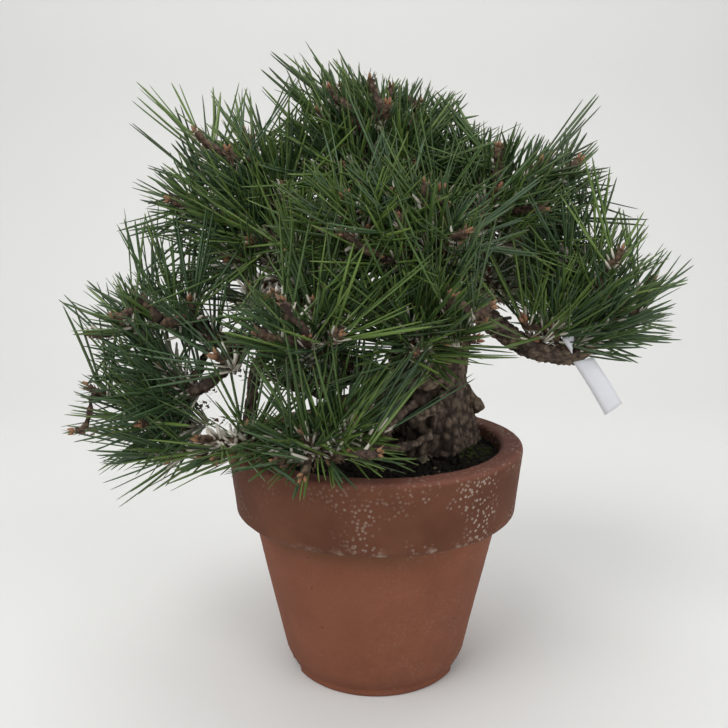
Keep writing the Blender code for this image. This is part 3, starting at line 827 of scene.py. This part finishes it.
def carve(mesh):
    """Moves the bark's plates and cracks in or out, and says how clear of a crack each point is."""
    count = len(mesh.vertices)
    places, normals = np.zeros(count * 3), np.zeros(count * 3)
    mesh.vertices.foreach_get("co", places)
    mesh.vertices.foreach_get("normal", normals)
    places, normals = places.reshape(-1, 3), normals.reshape(-1, 3)
    cracks = np.zeros(count, np.float32)
    for i, place in enumerate(places.tolist()):
        relief, cracks[i] = bark_at(Vector(place) / MM)
        places[i] += normals[i] * relief * MM
    mesh.vertices.foreach_set("co", places.ravel())
    mesh.update()
    return cracks


def make_roots():
    """The roots that run over the soil from the trunk's foot."""
    roots = Builder()
    for radius, knot_pixels in ROOTS:
        knots = [at(*knot) for knot in knot_pixels]
        path = []
        for a, b in zip(knots, knots[1:]):
            path += [a.lerp(b, t / ROOT_STEPS) for t in range(ROOT_STEPS)]
        path.append(knots[-1])
        for _ in range(ROOT_EASE):
            path[1:-1] = [(path[i - 1] + path[i] * 2 + path[i + 1]) / 4
                          for i in range(1, len(path) - 1)]
        radii = [radius * (0.9 + 0.12 * math.sin(0.9 * i)) for i in range(len(path))]
        tube(roots, path, radii, ROOT_SIDES, 0.5)
    roots.piece("surface_roots", bark_material("root_bark", ROOT_BARK, 380), "bark")


# Shoots

class Limb:
    """The branching inside one mass: points with a parent each, from the bough's end outwards."""

    def __init__(self, start, radius):
        self.place, self.parent, self.way = [Vector(start)], [-1], [Vector((0, 0, 0))]
        self.length, self.tips, self.radius = [0.0], [0], radius

    def grow(self, tip, axis):
        """Grows a twig from the nearest wood to the shoot's foot, and returns its points."""
        costs = [(p - tip).length + DETOUR * l for p, l in zip(self.place, self.length)]
        source = costs.index(min(costs))
        start = self.place[source]
        straight = (tip - start).normalized()
        way = self.way[source] if self.way[source].length else straight
        path = bezier(start, (way * 0.5 + straight).normalized(), tip, axis, TWIG_STEPS)
        chain = [source]
        for i in range(1, len(path)):
            wobble = Vector()
            if i < len(path) - 1:
                wobble = Vector([RNG.uniform(-TWIG_WOBBLE, TWIG_WOBBLE) for _ in range(3)])
            step = path[i] - path[i - 1]
            self.place.append(path[i] + wobble)
            self.parent.append(chain[-1])
            self.way.append(step.normalized())
            self.length.append(self.length[chain[-1]] + step.length)
            self.tips.append(0)
            chain.append(len(self.place) - 1)
        node = chain[-1]
        while node >= 0:
            self.tips[node] += 1
            node = self.parent[node]
        return chain

    def thick(self, node):
        """The wood's radius here, by the share of the shoots that it carries."""
        share = self.tips[node] / self.tips[0]
        return TIP_RADIUS + (self.radius - TIP_RADIUS) * share ** TAPER_POWER


def inside(masses, point, margin):
    """Whether a point lies in one of the masses, or no further out than the margin."""
    for low, high, tree in masses:
        if any(point[i] < low[i] - margin or point[i] > high[i] + margin for i in range(3)):
            continue
        near, normal, _, distance = tree.find_nearest(point)
        if (point - near).dot(normal) < 0 or distance < margin:
            return True
    return False


def frame_masses():
    """Each mass's lowest and highest corner and its surface, from the frame."""
    masses = {}
    for name in MASSES:
        mesh = NODES[name].data
        points = [v.co / MM for v in mesh.vertices]
        tree = BVHTree.FromPolygons(points, [tuple(p.vertices) for p in mesh.polygons])
        low = Vector([min(p[i] for p in points) for i in range(3)])
        high = Vector([max(p[i] for p in points) for i in range(3)])
        masses[name] = (low, high, tree)
    return masses


def seen_shoots(name):
    """The shoots of a mass that the photograph shows."""
    shoots = []
    for column, row, depth, angle, near in SHOOTS.get(name, ()):
        turn = math.radians(angle)
        way = Vector((math.cos(turn), -near, math.sin(turn))).normalized()
        shoots.append((at(column, row, depth), way, True))
    return shoots


def shoots_of(name, mass, goal):
    """A mass's shoots as (foot, direction, seen): the seen ones, then others spread through it."""
    shoots = seen_shoots(name)
    low, high, _ = mass
    middle, half = (low + high) / 2, (high - low) / 2
    start = Vector(MASSES[name][0])
    spacing = SPACING_SHARE * (half.x * half.y * half.z * 8 / goal) ** (1 / 3)
    tries = 0
    while len(shoots) < goal and tries < MOST_TRIES:
        tries += 1
        if tries % EASE_EVERY == 0:
            spacing *= SPACING_EASE
        spread = Vector([RNG.uniform(-MASS_BOX, MASS_BOX) for _ in range(3)])
        if spread.length > MASS_FILL:
            continue
        foot = middle + Vector([s * h for s, h in zip(spread, half)])
        if any((foot - other).length < spacing for other, _, _ in shoots):
            continue
        out = (foot - start).normalized() + spread * OUTWARD + UP * UPWARD
        out += Vector([RNG.uniform(-STRAY, STRAY) for _ in range(3)])
        shoots.append((foot, out.normalized(), False))
    return sorted(shoots, key=lambda shoot: (shoot[0] - start).length)


def flake(builder, foot, out, along, size, tint):
    """One scale of bark that stands off a shoot."""
    side = out.cross(along).normalized()
    points = [
        foot - side * size * 0.45,
        foot + side * size * 0.45,
        foot + out * size * 0.3 + along * size * 0.3,
        foot + (along * 1.1 + out * 0.8) * size,
        foot - out * 0.4,
    ]
    builder.add(points, [(0, 4, 1), (1, 2, 0), (1, 3, 2), (2, 3, 0), (0, 3, 1)], 1.0, tint)


def bud(builder, foot, way, length, radius, tint):
    """A pointed bud."""
    side, up = frame_of(way)
    points = []
    for share, wide in BUD_RINGS:
        for k in range(BUD_SIDES):
            out = spoke(side, up, 2 * math.pi / BUD_SIDES * (k + share * 2))
            points.append(foot + way * length * share + out * radius * wide)
    points.append(foot + way * length)
    faces = ring_faces(len(BUD_RINGS), BUD_SIDES)
    last, tip = (len(BUD_RINGS) - 1) * BUD_SIDES, len(points) - 1
    faces += [(last + k, last + (k + 1) % BUD_SIDES, tip) for k in range(BUD_SIDES)]
    faces.append(first_cap(BUD_SIDES))
    builder.add(points, faces, 1.0, tint)


def sheath(builder, foot, way, length, width, tint):
    """The papery sleeve round a pair's foot, with a ragged end."""
    side, up = frame_of(way)
    end = SHEATH_RINGS[-1][0]
    points = []
    for share, wide in SHEATH_RINGS:
        for k in range(SHEATH_SIDES):
            rag = RNG.uniform(0, SHEATH_RAG) if share == end else 0.0
            out = spoke(side, up * 0.8, 2 * math.pi * k / SHEATH_SIDES)
            points.append(foot + way * length * (share + rag) + out * width * wide)
    faces = ring_faces(len(SHEATH_RINGS), SHEATH_SIDES)
    faces += [first_cap(SHEATH_SIDES), tuple(range(len(points) - SHEATH_SIDES, len(points)))]
    builder.add(points, faces, 1.0, tint)


def fit_length(masses, foot, way, length):
    """The longest needle whose tip stays in the masses and the frame's box, or nothing."""
    for share in LENGTH_SHARES:
        tip = foot + way * length * share
        within = all(BOX_LOW[i] - BOX_MARGIN < tip[i] < BOX_HIGH[i] + BOX_MARGIN
                     for i in range(3))
        if within and inside(masses, tip, OUTSIDE_BY):
            return length * share
    return 0.0


def add_needles(masses, shoot, sheaths, sprays):
    """The pairs of needles on one shoot, all in one green, and their sheaths.

    A needle is kept as (foot, direction, bend, length, width, tint).
    """
    tip, axis, seen = shoot
    side, up = frame_of(axis)
    count = RNG.randint(*PAIRS) + (EXTRA_PAIRS if seen else 0)
    spray = RNG.choice(tuple(GREENS))
    if seen:
        spray = RNG.choice(SEEN_GREENS)
    turn = RNG.uniform(0, FULL_TURN)
    for i in range(count):
        turn += GOLDEN
        back = (i / count) ** 0.8
        tilt = math.radians(FIRST_TILT + MORE_TILT * back + RNG.uniform(-TILT_STRAY, TILT_STRAY))
        out = spoke(side, up, turn)
        way = (axis * math.cos(tilt) + out * math.sin(tilt) + UP * LIFT).normalized()
        foot = tip - axis * NEEDLED_LENGTH * back + out * SHOOT_RADIUS
        length = fit_length(masses, foot, way, RNG.uniform(*NEEDLE_LENGTH))
        if not length:
            continue
        wide = RNG.uniform(*NEEDLE_WIDTH)
        sleeve = RNG.uniform(*SHEATH_LENGTH) * (1.25 if seen else 0.8)
        sheath(sheaths, foot, way, sleeve, wide * 0.95, 1.0 if seen else 0.5)
        apart = spoke(*frame_of(way), turn).normalized()
        for sign in (-1, 1):
            spread = (way + apart * sign * RNG.uniform(0.02, 0.075)).normalized()
            bend = axis * RNG.uniform(0.0, 0.12) + apart * sign * RNG.uniform(-0.03, 0.03)
            one = length * RNG.uniform(0.96, 1.0)
            beside = foot + apart * sign * wide * 0.25
            sprays[spray].append((beside, spread, bend, one, wide, RNG.random()))


def needle_lines(needles):
    """Each needle's middle line, and a mark for those that leave the sky gaps open."""
    foot, way, bend = (np.array([list(n[i]) for n in needles]) for i in range(3))
    length = np.array([n[3] for n in needles])
    along = np.array(NEEDLE_STATIONS + (1.0,))[None, :, None]
    line = way[:, None] * along + bend[:, None] * along ** 2
    line = foot[:, None] + line * length[:, None, None]
    columns, rows = pixels(line)
    keep = np.ones(len(needles), bool)
    for column, row, radius in SKY:
        away = np.hypot(columns - column, rows - row)
        keep &= away.min(1) > radius * SKY_OPEN
    return line, way, keep


def needle_section(way, wide, tint):
    """The four directions of a needle's blade, each as long as its half width."""
    helper = np.where(np.abs(way[:, 2:3]) < 0.9, [[0.0, 0, 1]], [[1.0, 0, 0]])
    side = np.cross(way, helper)
    side /= np.linalg.norm(side, axis=1)[:, None]
    flat = np.cross(way, side)
    cos, sin = np.cos(tint[:, None] * 40), np.sin(tint[:, None] * 40)
    side, flat = side * cos + flat * sin, flat * cos - side * sin
    half = wide[:, None] / 2
    return side * half, flat * half * NEEDLE_FRONT, -side * half, -flat * half * NEEDLE_BACK


def needle_mesh(name, needles):
    """All the needles of one colour, each a closed blade of four sides with a sharp tip."""
    line, way, keep = needle_lines(needles)
    wide, tint = (np.array([n[i] for n in needles])[keep] for i in (4, 5))
    line, way = line[keep], way[keep]
    count, rings = len(line), len(NEEDLE_STATIONS)
    taper = np.array(NEEDLE_TAPER)[None, :, None]
    corners = [line[:, :rings] + out[:, None] * taper for out in needle_section(way, wide, tint)]
    body = np.stack(corners, 2).reshape(count, rings * 4, 3)
    points = np.concatenate([body, line[:, rings:rings + 1]], 1)
    per, last = rings * 4 + 1, (rings - 1) * 4
    quads = np.array(ring_faces(rings, 4) + [first_cap(4)])
    tips = np.array([(last + k, last + (k + 1) % 4, rings * 4) for k in range(4)])
    starts = (np.arange(count) * per)[:, None, None]
    faces = list((quads[None] + starts).reshape(-1, 4))
    faces += list((tips[None] + starts).reshape(-1, 3))
    marks = np.tile(np.concatenate([np.repeat(NEEDLE_STATIONS, 4), [1.0]]), count)
    numbers = {"along": marks, "tint": np.repeat(tint, per)}
    material = needle_material(name, GREENS[name])
    return finish_piece(name, points.reshape(-1, 3), faces, numbers, material)


def dress_shoot(scales, buds, shoot):
    """The scars on a shoot's last stretch and the buds at its end."""
    foot, axis, seen = shoot
    side, up = frame_of(axis)
    turn = RNG.uniform(0, FULL_TURN)
    for i in range(SCALES if seen else HIDDEN_SCALES):
        turn += GOLDEN
        out = spoke(side, up, turn)
        place = foot - axis * (SCALED_LENGTH * i / SCALES - 1.5) + out * SHOOT_RADIUS
        flake(scales, place, out, axis, RNG.uniform(*SCALE_SIZE), RNG.random())
    for i in range(RNG.randint(*(BUDS if seen else HIDDEN_BUDS))):
        turn += BUD_TURN
        out = spoke(side, up, turn)
        way = (axis + out * (BUD_SPREAD if i else 0.0)).normalized()
        size = RNG.uniform(0.8, 1.15) * (1.0 if seen else 0.7)
        place = foot + axis * 0.5 + out * 0.8
        bud(buds, place, way, BUD_LENGTH * size, BUD_RADIUS * size, RNG.random())


def grow_mass(masses, name, builders, sprays):
    """Everything that grows in one mass."""
    twigs, scales, buds, sheaths = builders
    start, radius, goal = MASSES[name]
    limb = Limb(start, radius)
    grown = []
    for shoot in shoots_of(name, masses[name], goal):
        grown.append(limb.grow(shoot[0], shoot[1]))
        add_needles(masses.values(), shoot, sheaths, sprays)
        dress_shoot(scales, buds, shoot)
    for chain in grown:
        radii = [limb.thick(node) for node in chain]
        radii[0] = min(radii[0], radii[1] * FORK_SWELL)
        tube(twigs, [limb.place[node] for node in chain], radii, TWIG_SIDES, RNG.random())


def grow_shoots():
    """Twigs, scales, buds, sheaths and needles of every mass."""
    masses = frame_masses()
    builders = twigs, scales, buds, sheaths = [Builder() for _ in range(4)]
    sprays = {name: [] for name in GREENS}
    for name in MASSES:
        grow_mass(masses, name, builders, sprays)
    twigs.piece("twigs", bark_material("twig_bark", TWIG_BARK, 420), "bark")
    scale_bark = mottled_material("scale_bark", SCALE_BARK, 300)
    scales.piece("shoot_scales", scale_bark, "bark", smooth=False)
    buds.piece("buds", mottled_material("bud_skin", BUD_SKIN, 900), "bark")
    paper = mottled_material("sheath_paper", SHEATH_PAPER, 260)
    sheaths.piece("needle_sheaths", paper, "needles")
    greens = [needle_mesh(name, needles) for name, needles in sprays.items()]
    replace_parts(greens[-1], *MASSES)


# Wires and tag

def finish_wires():
    """The wires keep the frame's shape, and get their finish."""
    wire = mottled_material("dull_wire", WIRE_GREY, 500, 0.5, 0.6)
    for name in ("right_wire", "front_wire"):
        mesh = NODES[name].data
        mesh.materials.clear()
        mesh.materials.append(wire)


def make_tag():
    """The blank label: a curled strip with its end folded over the bough."""
    tag = Builder()
    a, b, c, d = (at(*corner, TAG_DEPTH) for corner in TAG_CORNERS)
    shares = [i / TAG_STEPS for i in range(TAG_STEPS + 1)]
    strip(tag, [(a.lerp(d, t), b.lerp(c, t), TAG_CURL * math.sin(math.pi * t)) for t in shares])
    left, right, point = (at(*corner, TAG_DEPTH - 1) for corner in TAG_FOLD)
    shares = [i / FOLD_STEPS for i in range(FOLD_STEPS + 1)]
    strip(tag, [(left.lerp(point, t), right.lerp(point, t * 0.9), 1.6 * t) for t in shares])
    plastic = mottled_material("tag_plastic", TAG_WHITE, 90, 0.45)
    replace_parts(tag.piece("plant_tag", plastic, "tag"), "tag")


def strip(builder, rows):
    """A thin closed strip through these rows of (left end, right end, how far forward)."""
    across, points = TAG_ACROSS, []
    for left, right, forward in rows:
        for face in (-0.5, 0.5):
            for k in range(across):
                share = k / (across - 1)
                bow = TAG_BOW * math.sin(math.pi * share)
                back = face * TAG_THICK - forward - bow
                points.append(left.lerp(right, share) + Vector((0, back, 0)))
    ring = list(range(across)) + list(range(2 * across - 1, across - 1, -1))
    wide = 2 * across
    faces = [
        (r * wide + ring[k], r * wide + ring[(k + 1) % wide],
         (r + 1) * wide + ring[(k + 1) % wide], (r + 1) * wide + ring[k])
        for r in range(len(rows) - 1) for k in range(wide)
    ]
    faces += [tuple(reversed(ring)), tuple((len(rows) - 1) * wide + i for i in ring)]
    builder.add(points, faces, 1.0, 0.5)


# Stage

def make_floor():
    """A pale floor that curves up into a backdrop."""
    outline = [(FLOOR_NEAR, 0.0), (FLOOR_FAR - FLOOR_BEND, 0.0)]
    for i in range(1, FLOOR_BEND_STEPS + 1):
        turn = math.pi / 2 * i / FLOOR_BEND_STEPS
        ahead, rise = math.sin(turn), 1 - math.cos(turn)
        outline.append((FLOOR_FAR - FLOOR_BEND + FLOOR_BEND * ahead, FLOOR_BEND * rise))
    outline.append((FLOOR_FAR, BACKDROP_TOP))
    points = [(x, y, z) for y, z in outline for x in (-FLOOR_HALF_WIDTH, FLOOR_HALF_WIDTH)]
    faces = [(2 * i, 2 * i + 1, 2 * i + 3, 2 * i + 2) for i in range(len(outline) - 1)]
    mesh = bpy.data.meshes.new("studio_floor")
    mesh.from_pydata(points, [], faces)
    mesh.polygons.foreach_set("use_smooth", [True] * len(faces))
    mesh.materials.append(mottled_material("studio_grey", STUDIO_GREY, 2))
    show("studio_floor", mesh)


def make_lights():
    for name, place, size, power in LIGHTS:
        data = bpy.data.lights.new(name, "AREA")
        data.shape = "DISK"
        data.size = size
        data.energy = power
        light = show(name, data)
        light.location = place
        aim = Vector(LIGHTS_AIM) - Vector(place)
        light.rotation_euler = aim.to_track_quat("-Z", "Y").to_euler()
    world = bpy.data.worlds.new("studio")
    world.use_nodes = True
    background = world.node_tree.nodes["Background"]
    background.inputs["Color"].default_value = SKY_LIGHT
    background.inputs["Strength"].default_value = SKY_STRENGTH
    bpy.context.scene.world = world
    bpy.context.scene.view_settings.view_transform = "Standard"


def make_camera():
    data = bpy.data.cameras.new("camera")
    data.sensor_width = SENSOR
    data.lens = FOCAL_PX / IMAGE * SENSOR
    data.clip_start = 0.01
    camera = show("camera", data)
    camera.location = Vector(CAMERA_AT) * MM
    camera.rotation_euler = (math.pi / 2 - PITCH, 0, 0)
    bpy.context.scene.camera = camera


make_floor()
make_lights()
make_camera()
make_pot()
make_soil()
make_wood()
make_roots()
grow_shoots()
finish_wires()
make_tag()
